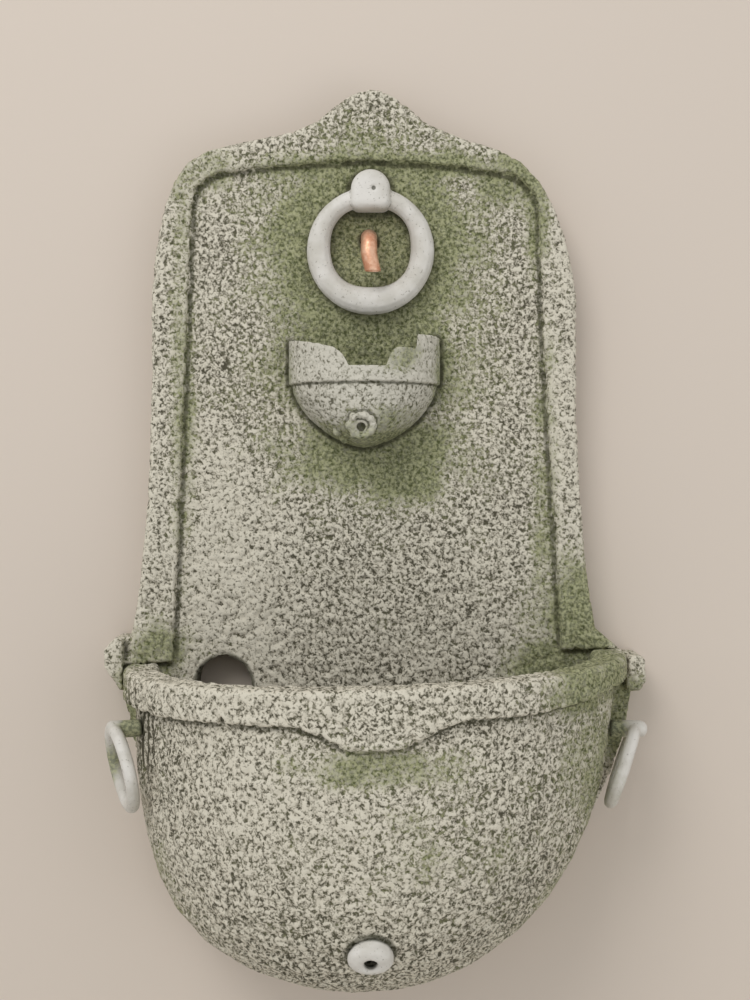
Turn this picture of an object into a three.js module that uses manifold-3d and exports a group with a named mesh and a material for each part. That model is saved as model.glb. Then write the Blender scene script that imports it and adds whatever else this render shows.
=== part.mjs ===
// A wall fountain of cast stone: a tall bordered slab, a half-round cup under the spout,
// a deep half-round basin with a banded rim, and smooth cast rings on knobs.
// Millimetres, +Z up. The wall is the plane y = 0 and the front faces -Y.
// The origin is on the slab's back face, at the height of the basin's rim.

import * as THREE from "three";
import { mergeVertices } from "three/addons/utils/BufferGeometryUtils.js";
import Module from "manifold-3d";

const wasm = await Module();
wasm.setup();

// Gap between pieces that touch
const touchGap = 0.3;

// Back slab
const panelDepth = 38;
const borderRise = 8;
const borderRound = 6;
const slabCentre = -5;
const sideAtShoulder = 211.5;
const sideAtFoot = 231;
const footHeight = 28;
const shoulderHeight = 504;
const cornerHeight = 148;
const leftCornerWidth = 56;
const rightCornerWidth = 77;
const crownCentre = 2;
const crownHalfWidth = 52;
const crownFootRise = 29;
const crownRise = 31;

// Panel inside the border
const borderWidthLeft = 40;
const borderWidthRight = 32;
const borderWidthTop = 22;
const panelArch = 11;
const panelCorner = 34;

// Basin
const basinCentre = 6;
const basinHalfWidth = 249;
const basinReach = 242;
const basinDepth = 304;
const basinWall = 34;
const basinFloor = 40;
const basinSlope = 0.031;
const basinSag = 8;
const basinSidePower = 2.7;
const basinFrontPower = 3.5;
const bandHeight = 31;
const bandSideStep = 13;
const bandFrontStep = 7;
const bandEdge = 4;
const lobeDrop = 21.5;
const lobeFlat = 15;
const lobeSpread = 70;

// The band's lower line rises towards the right end of the rim
const bandEndRise = 7;
const bandEndStart = 150;

// Chip in the band's lower edge
const chipX = -126;
const chipWidth = 7;
const chipHeight = 10;

// Slab behind the basin, wider than the basin near the rim: extra width, and the drops between
// which it tapers off
const leftMargin = { side: -1, width: 13, atRim: 13, start: 56, end: 106 };
const rightMargin = { side: 1, width: 22, atRim: 8, start: 46, end: 226 };

// Ears of the slab beside the ends of the rim
const earReach = 20;
const earDepth = 54;
const earRound = 4;
const earGroove = 2;
const leftEar = { side: -1, rise: 19, drop: 34, topChamfer: 11, lowChamfer: 17 };
const rightEar = { side: 1, rise: 2, drop: 33, topChamfer: 5, lowChamfer: 6 };

// Overflow hole, with its top a little over the rim
const overflowRadius = 27.5;
const overflowX = -145;
const overflowOverRim = 4;

// Copper spout
const spoutX = 0;
const spoutRadius = 8;
const spoutWall = 1;
const spoutReach = 36;
const spoutBend = 18;
const spoutDrop = 33.5;
const spoutLean = 4;

// Ring and knob round the spout
const ringBesideSpout = 1.5;
const spoutBelowRingTop = 39.4;
const ringRadius = 51.4;
const ringBar = 11.8;
const ringHeavier = 2;
const ringSquareness = 2.35;
const knobHalfWidth = 19.5;
const knobHeight = 39;
const knobCorner = 8;
const knobRise = 30;
const knobRound = 7;
const knobBelowBorder = 12;
const dimpleRadius = 3;

// Cup under the ring
const cupCentre = -4.5;
const cupBelowRing = 22;
const cupHalfWidth = 75.5;
const cupReach = 73;
const cupBandHeight = 47;
const cupBandStep = 3;
const cupBandEdge = 2;
const cupBowlDepth = 62;
const cupSidePower = 1.6;
const cupFrontPower = 3;
const cupWall = 10;
const cupFloor = 13;
const shoulderDrop = 14;
const shoulderRightEnd = 50;
const notchAside = 3;
const notchHalfWidth = 18;
const notchDepth = 18;
const notchSlope = 10;

// Rosette low on the cup
const rosetteAside = 3;
const rosetteRadius = 15.5;
const rosetteRise = 5;
const rosetteTilt = 18;
const rosetteBelowBand = 42;
const rosetteHole = 4.4;
const rosetteHoleDepth = 5;
const rosettePetals = 7;
const petalDepth = 2.6;
const petalRound = 2.5;

// Rings and knobs on the basin's sides
const sideRingRadius = 37.5;
const sideRingBar = 6.5;
const sideKnobRadius = 8.5;
const leftRing = { side: -1, out: 82, height: -88, standoff: 19, lean: 12, knobPast: 7 };
const rightRing = { side: 1, out: 42, height: -108, standoff: 17, lean: 18, knobPast: 12 };

// Drain boss low on the basin's front
const bossX = 1.3;
const bossAboveBottom = 67.5;
const bossTilt = 43;
const bossRadius = 20.3;
const bossRise = 10;
const bossEdge = 4;
const bossDish = 2.5;
const drainRadius = 6;

// Fineness of the facets
const basinArcSteps = 32;
const cupArcSteps = 24;
const levelSteps = 11;
const curveSteps = 6;
const holeSides = 24;
const past = 10;
const beyond = 700;

// Depths in front of the wall
const faceDepth = panelDepth + touchGap;
const borderDepth = panelDepth + borderRise;

// Heights, from the top of the panel down to the cup
const panelSideTop = shoulderHeight - borderWidthTop;
const knobTop = panelSideTop + panelArch - knobBelowBorder;
const knobBottom = knobTop - knobHeight;
const ringHeight = knobBottom - (ringRadius - ringBar);
const spoutHeight = ringHeight + ringRadius - spoutBelowRingTop;
const ringX = spoutX + ringBesideSpout;
const cupTop = ringHeight - ringRadius - ringBar - cupBelowRing;
const cupBandBottom = cupTop - cupBandHeight;

// The drain's height
const bossHeight = bossAboveBottom - basinDepth;

// Turns a closed geometry into a solid that can be joined and cut.
function toSolid(geometry) {
  geometry.deleteAttribute("normal");
  geometry.deleteAttribute("uv");
  const merged = mergeVertices(geometry, 1e-4);
  const solid = new wasm.Manifold(new wasm.Mesh({
    numProp: 3,
    vertProperties: new Float32Array(merged.attributes.position.array),
    triVerts: new Uint32Array(merged.index.array),
  }));
  return solid;
}

// Turns a solid back into a geometry.
function toGeometry(solid) {
  const mesh = solid.getMesh();
  const geometry = new THREE.BufferGeometry();
  geometry.setAttribute("position", new THREE.BufferAttribute(new Float32Array(mesh.vertProperties), 3));
  geometry.setIndex(new THREE.BufferAttribute(new Uint32Array(mesh.triVerts), 1));
  geometry.computeVertexNormals();
  return geometry;
}

function middleOf(loop) {
  const total = [0, 1, 2].map((axis) => loop.reduce((sum, point) => sum + point[axis], 0));
  return total.map((sum) => sum / loop.length);
}

// Skins level loops of equal length, from the top one down, and closes both ends.
function loft(loops) {
  const count = loops[0].length;
  const points = loops.flat();
  const triangles = [];
  for (let level = 0; level < loops.length - 1; level += 1) {
    for (let step = 0; step < count; step += 1) {
      const here = level * count + step;
      const next = level * count + ((step + 1) % count);
      triangles.push(here, here + count, next);
      triangles.push(next, here + count, next + count);
    }
  }
  const lowest = (loops.length - 1) * count;
  const topMiddle = points.length;
  points.push(middleOf(loops[0]), middleOf(loops[loops.length - 1]));
  for (let step = 0; step < count; step += 1) {
    const next = (step + 1) % count;
    triangles.push(topMiddle, step, next);
    triangles.push(topMiddle + 1, lowest + next, lowest + step);
  }
  const geometry = new THREE.BufferGeometry();
  geometry.setAttribute("position", new THREE.Float32BufferAttribute(points.flat(), 3));
  geometry.setIndex(triangles);
  return toSolid(geometry);
}

function block(low, high) {
  const size = high.map((value, axis) => value - low[axis]);
  const geometry = new THREE.BoxGeometry(...size);
  geometry.translate(...low.map((value, axis) => value + size[axis] / 2));
  return toSolid(geometry);
}

// A front-view shape, x to the right and y up, carried forward from one depth to another.
// A round softens its front edges only.
function platePart(shape, from, to, round = 0) {
  const geometry = new THREE.ExtrudeGeometry(shape, {
    depth: to - from - round,
    curveSegments: curveSteps,
    bevelEnabled: round > 0,
    bevelThickness: round,
    bevelSize: round,
    bevelOffset: -round,
    bevelSegments: 3,
  });
  geometry.rotateX(Math.PI / 2);
  geometry.translate(0, -from, 0);
  const solid = toSolid(geometry);
  const behind = block([-beyond, -from, -beyond], [beyond, beyond, beyond]);
  return round > 0 ? solid.subtract(behind) : solid;
}

// A round bar that runs straight out from the wall.
function barFromWall(radius, x, height, from, to) {
  const geometry = new THREE.CylinderGeometry(radius, radius, to - from, holeSides);
  geometry.translate(x, -(from + to) / 2, height);
  return toSolid(geometry);
}

// Half-round vessels, hung on the slab's face: the outer form and the hollow of each.
// A drum is the straight part above the curve.
const basinForm = {
  centre: basinCentre,
  sag: basinSag,
  halfWidth: basinHalfWidth - bandSideStep,
  reach: basinReach - bandFrontStep,
  top: 0,
  drum: 0,
  depth: basinDepth,
  slope: basinSlope,
  arcSteps: basinArcSteps,
  sidePower: basinSidePower,
  frontPower: basinFrontPower,
};
const bandForm = {
  ...basinForm,
  halfWidth: basinHalfWidth,
  reach: basinReach,
  drum: bandHeight,
};
const basinHollow = {
  ...basinForm,
  halfWidth: basinHalfWidth - basinWall,
  reach: basinReach - basinWall,
  depth: basinDepth - basinFloor,
};
const cupForm = {
  centre: cupCentre,
  sag: 0,
  halfWidth: cupHalfWidth - cupBandStep,
  reach: cupReach - cupBandStep,
  top: cupTop,
  drum: cupBandHeight,
  depth: cupBowlDepth,
  slope: 0,
  arcSteps: cupArcSteps,
  sidePower: cupSidePower,
  frontPower: cupFrontPower,
};
const cupHollow = {
  ...cupForm,
  halfWidth: cupHalfWidth - cupWall,
  reach: cupReach - cupWall,
  depth: cupBowlDepth - cupFloor,
};
const cupBandForm = {
  ...cupForm,
  halfWidth: cupHalfWidth,
  reach: cupReach,
};

// What is left of a width or reach at a share of the way down.
function shareLeft(share, power) {
  return (1 - share ** power) ** (1 / power);
}

// A vessel's centre, half width and reach at a height.
function vesselAt(form, height, grow = 0) {
  const share = THREE.MathUtils.clamp((form.top - form.drum - height) / (form.depth + grow), 0, 1);
  return {
    share,
    centre: form.drum > 0 ? form.centre : form.centre * (1 - share) - form.sag * Math.sin(Math.PI * share ** 3),
    halfWidth: form.halfWidth * shareLeft(share, form.sidePower) + grow,
    reach: form.reach * shareLeft(share, form.frontPower) + grow,
  };
}

// A loop round a vessel: a half-round front, and a back that may run into the slab.
function vesselLoop(form, height, grow, behind, lift = (x) => form.slope * x) {
  const { centre, halfWidth, reach } = vesselAt(form, height, grow);
  const loop = [];
  for (let step = 0; step <= form.arcSteps; step += 1) {
    const angle = (Math.PI * step) / form.arcSteps;
    loop.push([centre + halfWidth * Math.cos(angle), -faceDepth - reach * Math.sin(angle)]);
  }
  if (behind > 0) {
    loop.push([centre - halfWidth, -faceDepth + behind]);
    loop.push([centre + halfWidth, -faceDepth + behind]);
  }
  return loop.reverse().map(([x, y]) => [x, y, height + lift(x)]);
}

// The heights of a vessel's loops, closer together towards the bottom.
function vesselHeights(form, grow) {
  const heights = form.drum > 0 ? [form.top] : [];
  for (let level = 0; level <= levelSteps; level += 1) {
    const share = Math.sin((Math.PI / 2) * 0.985 * (level / levelSteps));
    heights.push(form.top - form.drum - (form.depth + grow) * share);
  }
  return heights;
}

function vesselOutside(form, grow = 0) {
  return loft(vesselHeights(form, grow).map((height) => vesselLoop(form, height, grow, 0)));
}

// The hollow opens through the back, where the slab closes it, and flares at the lip.
function vesselInside(form, lipEdge) {
  const [, ...below] = vesselHeights(form, 0);
  return loft([
    vesselLoop(form, form.top + past, lipEdge, past),
    vesselLoop(form, form.top, lipEdge, past),
    vesselLoop(form, form.top - lipEdge, 0, past),
    ...below.map((height) => vesselLoop(form, height, 0, past)),
  ]);
}

// The band round a rim, from its top edge down into the body's wall. Its lower line may dip.
function rimBand(band, body, edge, dip) {
  const bottom = band.top - band.drum;
  const lift = (x) => band.slope * x;
  const dipped = (x) => lift(x) - dip(x);
  return loft([
    vesselLoop(band, band.top, -edge, 0, lift),
    vesselLoop(band, band.top - edge, 0, 0, lift),
    vesselLoop(band, bottom + edge / 2, 0, 0, dipped),
    vesselLoop(band, bottom, -edge / 2, 0, dipped),
    vesselLoop({ ...body, drum: band.drum }, bottom, -edge, 0, dipped),
  ]);
}

// How far the basin's band dips in the middle of the front, less its rise at the right end.
function lobe(x) {
  const away = Math.abs(x - basinCentre);
  const rise = bandEndRise * THREE.MathUtils.smoothstep(x, bandEndStart, basinHalfWidth);
  return lobeDrop * (1 - THREE.MathUtils.smoothstep(away, lobeFlat, lobeSpread)) - rise;
}

// The slab's half width between its foot and its corners.
function slabSide(height) {
  const cornerFoot = shoulderHeight - cornerHeight;
  const share = THREE.MathUtils.clamp((cornerFoot - height) / (cornerFoot - footHeight), 0, 1);
  return sideAtShoulder + (sideAtFoot - sideAtShoulder) * share ** 3;
}

// The points of the slab's side from the foot up to the corner, on the right (1) or left (-1).
function slabSidePoints(side) {
  const points = [];
  for (let step = 0; step <= curveSteps; step += 1) {
    const height = THREE.MathUtils.lerp(footHeight, shoulderHeight - cornerHeight, step / curveSteps);
    points.push([slabCentre + side * slabSide(height), height]);
  }
  return points;
}

// The slab seen from the front: crown, shoulders, sides, and below the rim the basin's back.
function slabOutline() {
  const shape = new THREE.Shape();
  const rightSide = slabSidePoints(1);
  const leftSide = slabSidePoints(-1);
  const crownFoot = shoulderHeight + crownFootRise;
  const crownTop = crownFoot + crownRise;
  const rightShoulder = slabCentre + sideAtShoulder - rightCornerWidth;
  const leftShoulder = slabCentre - sideAtShoulder + leftCornerWidth;
  shape.moveTo(...rightSide[0]);
  rightSide.slice(1).forEach((point) => shape.lineTo(...point));
  shape.bezierCurveTo(
    slabCentre + sideAtShoulder - 0.06 * rightCornerWidth, shoulderHeight - 0.58 * cornerHeight,
    rightShoulder + 0.62 * rightCornerWidth, shoulderHeight - 0.09 * cornerHeight,
    rightShoulder, shoulderHeight,
  );
  shape.quadraticCurveTo(
    crownCentre + 1.4 * crownHalfWidth, shoulderHeight + 0.6 * crownFootRise,
    crownCentre + crownHalfWidth, crownFoot,
  );
  shape.bezierCurveTo(
    crownCentre + 0.77 * crownHalfWidth, crownFoot + 0.4 * crownRise,
    crownCentre + 0.35 * crownHalfWidth, crownTop,
    crownCentre, crownTop,
  );
  shape.bezierCurveTo(
    crownCentre - 0.35 * crownHalfWidth, crownTop,
    crownCentre - 0.77 * crownHalfWidth, crownFoot + 0.4 * crownRise,
    crownCentre - crownHalfWidth, crownFoot,
  );
  shape.quadraticCurveTo(
    crownCentre - 1.4 * crownHalfWidth, shoulderHeight + 0.6 * crownFootRise,
    leftShoulder, shoulderHeight,
  );
  shape.bezierCurveTo(
    leftShoulder - 0.73 * leftCornerWidth, shoulderHeight - 0.08 * cornerHeight,
    slabCentre - sideAtShoulder + 0.06 * leftCornerWidth, shoulderHeight - 0.57 * cornerHeight,
    ...leftSide[curveSteps],
  );
  leftSide.slice(0, -1).reverse().forEach((point) => shape.lineTo(...point));
  basinBackSide(leftMargin).forEach((point) => shape.lineTo(...point));
  basinBackSide(rightMargin).reverse().forEach((point) => shape.lineTo(...point));
  return shape;
}

// The slab's edge behind the basin, from the rim down to the lowest point.
function basinBackSide({ side, width, atRim, start, end }) {
  return vesselHeights(basinForm, 0).map((height) => {
    const { centre, halfWidth } = vesselAt(basinForm, height);
    const widest = height < 0 ? width : atRim;
    const margin = widest * (1 - THREE.MathUtils.smoothstep(-height, start, end));
    const x = centre + side * (halfWidth + margin);
    return [x, height + basinSlope * x];
  });
}

// The sunk panel, drawn on past the rim so that it runs down inside the basin.
function panelOutline() {
  const shape = new THREE.Shape();
  const edge = (side, height) => {
    const border = side > 0 ? borderWidthRight : borderWidthLeft;
    return slabCentre + side * (slabSide(height) - border);
  };
  const cornerFoot = panelSideTop - panelCorner;
  const low = -2 * past;
  shape.moveTo(edge(1, low), low);
  shape.lineTo(edge(1, cornerFoot - cornerHeight), cornerFoot - cornerHeight);
  shape.lineTo(edge(1, cornerFoot) - 0.15 * panelCorner, cornerFoot);
  shape.quadraticCurveTo(
    edge(1, cornerFoot) - 0.5 * panelCorner, panelSideTop,
    edge(1, cornerFoot) - 1.4 * panelCorner, panelSideTop,
  );
  shape.quadraticCurveTo(
    crownCentre, panelSideTop + 2 * panelArch,
    edge(-1, cornerFoot) + panelCorner, panelSideTop,
  );
  shape.quadraticCurveTo(
    edge(-1, cornerFoot) + 0.1 * panelCorner, panelSideTop - 0.1 * panelCorner,
    edge(-1, cornerFoot), cornerFoot,
  );
  shape.lineTo(edge(-1, low), low);
  return shape;
}

// An ear beside the end of the rim, before the rim's own shape is cut from it.
function earSolid({ side, rise, drop, topChamfer, lowChamfer }) {
  const inner = basinCentre + side * (basinHalfWidth - bandSideStep - earReach);
  const outer = basinCentre + side * (basinHalfWidth + earReach);
  const points = [
    [inner, -drop],
    [outer - side * lowChamfer, -drop],
    [outer, 1.4 * lowChamfer - drop],
    [outer, rise - topChamfer],
    [outer - side * topChamfer, rise],
    [inner, rise],
  ];
  const shape = new THREE.Shape(points.map(([x, y]) => new THREE.Vector2(x, y)));
  return platePart(shape, 0, earDepth, earRound);
}

// Everything of the basin's height and above, as wide as its rim: what the ears stand clear of.
function rimSpace(clearance) {
  const straight = { ...bandForm, drum: 2 * basinDepth };
  return loft([
    vesselLoop(straight, basinDepth, clearance, 0),
    vesselLoop(straight, -basinDepth, clearance, 0),
  ]);
}

function backSlab() {
  const rimLine = (x) => basinSlope * x + touchGap;
  const border = new THREE.Shape([
    new THREE.Vector2(-beyond, -beyond),
    new THREE.Vector2(beyond, -beyond),
    new THREE.Vector2(beyond, rimLine(beyond)),
    new THREE.Vector2(-beyond, rimLine(-beyond)),
  ]);
  const ears = earSolid(leftEar).add(earSolid(rightEar)).subtract(rimSpace(earGroove));
  const overflowHeight = basinSlope * overflowX + overflowOverRim - overflowRadius;
  return platePart(slabOutline(), 0, borderDepth, borderRound)
    .subtract(platePart(panelOutline(), panelDepth, borderDepth + past))
    .subtract(platePart(border, panelDepth, borderDepth + past))
    .add(ears)
    .subtract(barFromWall(overflowRadius, overflowX, overflowHeight, -past, borderDepth))
    .subtract(barFromWall(spoutRadius + touchGap, spoutX, spoutHeight, -past, borderDepth));
}

function basin() {
  return vesselOutside(basinForm)
    .add(rimBand(bandForm, basinForm, bandEdge, lobe).subtract(bandChip()))
    .subtract(vesselInside(basinHollow, bandEdge))
    .subtract(drainBore());
}

// A chip broken out of the band's lower edge.
function bandChip() {
  const bottom = basinSlope * chipX - bandHeight;
  const shape = new THREE.Shape();
  shape.moveTo(chipX - chipWidth, bottom - past);
  shape.lineTo(chipX - 0.6 * chipWidth, bottom + 0.4 * chipHeight);
  shape.lineTo(chipX, bottom + chipHeight);
  shape.lineTo(chipX + 0.5 * chipWidth, bottom - past);
  return platePart(shape, faceDepth, faceDepth + basinReach + past);
}

// The way out of the basin, drilled straight in through the boss.
function drainBore() {
  const { point, normal } = bossSeat();
  const height = point.z + normal.z * (bossRise - bossDish);
  return barFromWall(drainRadius, bossX, height, faceDepth + basinReach / 3, faceDepth + basinReach + past);
}

// Where the boss sits on the basin's front, and which way it faces.
function bossSeat() {
  const { reach } = vesselAt(basinForm, bossHeight);
  const tilt = THREE.MathUtils.degToRad(bossTilt);
  return {
    point: new THREE.Vector3(bossX, -faceDepth - reach, bossHeight + basinSlope * bossX),
    normal: new THREE.Vector3(0, -Math.cos(tilt), -Math.sin(tilt)),
  };
}

// Stands a geometry that was made round +Y on a point, with +Y turned to the normal.
function standOn(geometry, point, normal) {
  const turn = new THREE.Quaternion().setFromUnitVectors(new THREE.Vector3(0, 1, 0), normal);
  geometry.applyQuaternion(turn);
  geometry.translate(point.x, point.y, point.z);
  return toSolid(geometry);
}

function drainBoss() {
  const { point, normal } = bossSeat();
  const profile = [
    [0, -bossRadius],
    [bossRadius, -bossRadius],
    [bossRadius, bossEdge],
    [0.88 * bossRadius, 0.75 * bossRise],
    [0.62 * bossRadius, bossRise],
    [0.45 * bossRadius, bossRise],
    [drainRadius, bossRise - bossDish],
    [0, bossRise - bossDish],
  ];
  const turned = new THREE.LatheGeometry(profile.map(([x, y]) => new THREE.Vector2(x, y)), holeSides);
  return standOn(turned, point, normal)
    .subtract(vesselOutside(basinForm, touchGap))
    .subtract(drainBore());
}

function cup() {
  const none = () => 0;
  const body = vesselOutside(cupForm)
    .add(rimBand(cupBandForm, cupForm, cupBandEdge, none))
    .add(rosette(0));
  return body
    .subtract(vesselInside(cupHollow, cupBandEdge))
    .subtract(platePart(cupRimCut(), faceDepth - past, faceDepth + cupReach + past))
    .subtract(block([-beyond, -faceDepth, -beyond], [beyond, beyond, beyond]))
    .subtract(rosette(rosetteHole));
}

// What is worn and cut away from the cup's rim, seen from the front.
function cupRimCut() {
  const shoulder = cupTop - shoulderDrop;
  const notchBottom = shoulder - notchDepth;
  const notchX = cupCentre + notchAside;
  const shape = new THREE.Shape();
  shape.moveTo(cupCentre - cupHalfWidth - past, cupTop + past);
  shape.lineTo(cupCentre - cupHalfWidth - past, cupTop - 0.1 * shoulderDrop);
  shape.lineTo(notchX - notchHalfWidth - 3 * notchSlope, cupTop - 0.7 * shoulderDrop);
  shape.lineTo(notchX - notchHalfWidth - 1.5 * notchSlope, shoulder);
  shape.quadraticCurveTo(
    notchX - notchHalfWidth - 0.4 * notchSlope, shoulder - 0.3 * notchDepth,
    notchX - notchHalfWidth, notchBottom,
  );
  shape.lineTo(notchX + notchHalfWidth, notchBottom);
  shape.quadraticCurveTo(
    notchX + notchHalfWidth + 0.5 * notchSlope, shoulder,
    notchX + notchHalfWidth + 1.3 * notchSlope, shoulder,
  );
  shape.lineTo(cupCentre + shoulderRightEnd, shoulder);
  shape.lineTo(cupCentre + shoulderRightEnd + 0.2 * shoulderDrop, cupTop + past);
  return shape;
}

// The rosette on the cup, or with a hole radius the blind hole in its middle.
function rosette(hole) {
  const height = cupBandBottom - rosetteBelowBand;
  const { reach } = vesselAt(cupForm, height);
  const tilt = THREE.MathUtils.degToRad(rosetteTilt);
  const normal = new THREE.Vector3(0, -Math.cos(tilt), -Math.sin(tilt));
  const point = new THREE.Vector3(cupCentre - rosetteAside, -faceDepth - reach, height);
  if (hole > 0) {
    const drill = new THREE.CylinderGeometry(hole, hole, 2 * rosetteHoleDepth, holeSides / 2);
    return standOn(drill, point.addScaledVector(normal, rosetteRise), normal);
  }
  return loft([
    rosetteLoop(rosetteRadius - petalRound, rosetteRise, point, normal),
    rosetteLoop(rosetteRadius, rosetteRise - petalRound, point, normal),
    rosetteLoop(rosetteRadius, -0.8 * cupWall, point, normal),
  ]);
}

// The outline of the rosette's petals at a height over the cup's surface.
function rosetteLoop(outerRadius, rise, point, normal) {
  const across = new THREE.Vector3(1, 0, 0);
  const up = normal.clone().cross(across);
  const steps = 6 * rosettePetals;
  const loop = [];
  for (let step = 0; step < steps; step += 1) {
    const angle = (2 * Math.PI * step) / steps;
    const radius = outerRadius - petalDepth * Math.cos((rosettePetals / 2) * angle) ** 2;
    const place = point.clone().addScaledVector(normal, rise);
    place.addScaledVector(across, radius * Math.cos(angle)).addScaledVector(up, radius * Math.sin(angle));
    loop.push(place.toArray());
  }
  return loop;
}

function spoutRing() {
  const ring = new THREE.TorusGeometry(ringRadius, ringBar, 12, 40);
  squareInside(ring.attributes.position);
  heavierBelow(ring.attributes.position);
  ring.rotateX(Math.PI / 2);
  ring.translate(ringX, -faceDepth - ringBar, ringHeight);
  const arch = new THREE.Shape();
  const springing = knobTop - knobHalfWidth;
  const right = ringX + knobHalfWidth;
  const left = ringX - knobHalfWidth;
  arch.moveTo(left, springing);
  arch.absarc(left + knobCorner, knobBottom + knobCorner, knobCorner, Math.PI, 1.5 * Math.PI);
  arch.absarc(right - knobCorner, knobBottom + knobCorner, knobCorner, 1.5 * Math.PI, 2 * Math.PI);
  arch.absarc(ringX, springing, knobHalfWidth, 0, Math.PI);
  const dimple = new THREE.SphereGeometry(dimpleRadius, 12, 8);
  dimple.translate(ringX + dimpleRadius, -faceDepth - knobRise, springing);
  return toSolid(ring)
    .add(platePart(arch, faceDepth, faceDepth + knobRise, knobRound))
    .subtract(toSolid(dimple));
}

// How far a point of a flat ring lies towards its opening: 0 at the outer edge, 1 at the inner one.
function shareInside(away) {
  return (ringRadius + ringBar - away) / (2 * ringBar);
}

// Makes the opening of a flat ring a little square, and leaves its outer edge round.
function squareInside(places) {
  for (let index = 0; index < places.count; index += 1) {
    const x = places.getX(index);
    const y = places.getY(index);
    const away = Math.hypot(x, y);
    const power = ringSquareness;
    const square = ((Math.abs(x) / away) ** power + (Math.abs(y) / away) ** power) ** (-1 / power);
    const scale = 1 + (square - 1) * shareInside(away);
    places.setX(index, x * scale);
    places.setY(index, y * scale);
  }
}

// Moves the inside of a flat ring up, so that its bar is thicker at the bottom than at the top.
function heavierBelow(places) {
  for (let index = 0; index < places.count; index += 1) {
    const away = Math.hypot(places.getX(index), places.getY(index));
    places.setY(index, places.getY(index) + 2 * ringHeavier * shareInside(away));
  }
}

// A ring that hangs from a knob on the basin's side and leans in with the bowl.
function sideRing({ side, out, height, standoff, lean, knobPast }) {
  const { centre, halfWidth, reach } = vesselAt(basinForm, height);
  const along = out / reach;
  const inward = Math.sqrt(1 - along ** 2);
  const turn = Math.atan((halfWidth * along) / (reach * inward));
  const tip = THREE.MathUtils.degToRad(lean);
  const level = new THREE.Vector3(side * Math.cos(turn), -Math.sin(turn), 0);
  const facing = level.clone().multiplyScalar(Math.cos(tip)).add(new THREE.Vector3(0, 0, -Math.sin(tip)));
  const across = new THREE.Vector3(0, 0, 1).cross(facing).normalize();
  const up = facing.clone().cross(across);
  const x = centre + side * halfWidth * inward;
  const seat = new THREE.Vector3(x, -faceDepth - out, height + basinSlope * x);
  const middle = seat.addScaledVector(level, standoff);
  const ring = new THREE.TorusGeometry(sideRingRadius, sideRingBar, 8, 32);
  ring.applyMatrix4(new THREE.Matrix4().makeBasis(across, up, facing).setPosition(middle));
  const top = middle.clone().addScaledVector(up, sideRingRadius);
  const profile = [
    [0, -3 * standoff],
    [sideKnobRadius, -3 * standoff],
    [sideKnobRadius, 0.45 * knobPast],
    [0.8 * sideKnobRadius, 0.8 * knobPast],
    [0.4 * sideKnobRadius, knobPast],
    [0, knobPast],
  ];
  const knob = new THREE.LatheGeometry(profile.map(([r, y]) => new THREE.Vector2(r, y)), holeSides / 2);
  return toSolid(ring)
    .add(standOn(knob, top, level))
    .subtract(vesselOutside(basinForm, touchGap));
}

// The middle line of the spout: straight through the slab, then bent down to the mouth.
function spoutLine(extra) {
  const bendDepth = panelDepth + spoutReach - spoutBend;
  const outDepth = panelDepth + spoutReach;
  const endX = spoutX + spoutLean;
  const bendX = spoutX + 0.3 * spoutLean;
  const line = new THREE.CurvePath();
  const at = (x, depth, height) => new THREE.Vector3(x, -depth, height);
  line.add(new THREE.LineCurve3(at(spoutX, -extra, spoutHeight), at(spoutX, panelDepth, spoutHeight)));
  line.add(new THREE.LineCurve3(at(spoutX, panelDepth, spoutHeight), at(spoutX, bendDepth, spoutHeight)));
  line.add(new THREE.CubicBezierCurve3(
    at(spoutX, bendDepth, spoutHeight),
    at(spoutX, bendDepth + 0.55 * spoutBend, spoutHeight),
    at(spoutX, outDepth, spoutHeight - 0.45 * spoutBend),
    at(bendX, outDepth, spoutHeight - spoutBend),
  ));
  const mouthHeight = spoutHeight - spoutDrop;
  const slant = (endX - bendX) / (spoutDrop - spoutBend);
  line.add(new THREE.LineCurve3(
    at(bendX, outDepth, spoutHeight - spoutBend),
    at(endX + slant * extra, outDepth, mouthHeight - extra),
  ));
  return line;
}

function tubeAlong(line, radius) {
  const section = new THREE.Shape();
  section.absarc(0, 0, radius, 0, 2 * Math.PI);
  const tube = new THREE.ExtrudeGeometry(section, { extrudePath: line, steps: 24, curveSegments: 6 });
  return toSolid(tube);
}

function spout() {
  return tubeAlong(spoutLine(0), spoutRadius)
    .subtract(tubeAlong(spoutLine(1), spoutRadius - spoutWall));
}

function piece(name, solid, color, roughness, metalness = 0) {
  const mesh = new THREE.Mesh(toGeometry(solid), new THREE.MeshStandardMaterial({
    color,
    roughness,
    metalness,
    flatShading: true,
  }));
  mesh.name = name;
  return mesh;
}

const pittedStone = 0x9f9b8b;
const smoothStone = 0xc5c1b7;
const copper = 0xd0a787;

const fountain = new THREE.Group();
fountain.add(piece("back_slab", backSlab(), pittedStone, 0.95));
fountain.add(piece("basin", basin(), pittedStone, 0.95));
fountain.add(piece("cup", cup(), pittedStone, 0.95));
fountain.add(piece("spout_ring", spoutRing(), smoothStone, 0.7));
fountain.add(piece("spout", spout(), copper, 0.35, 1));
fountain.add(piece("left_ring", sideRing(leftRing), smoothStone, 0.7));
fountain.add(piece("right_ring", sideRing(rightRing), smoothStone, 0.7));
fountain.add(piece("drain_boss", drainBoss(), smoothStone, 0.7));

export default fountain;
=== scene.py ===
# A wall fountain of weathered cast stone: pitted slab, basin and cup with moss in their corners,
# smooth pale rings on knobs, and a worn copper spout. Metres, +Z up, the wall is the plane y = 0.

import math

import bpy
import numpy as np
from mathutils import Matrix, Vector
from mathutils.bvhtree import BVHTree


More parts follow.
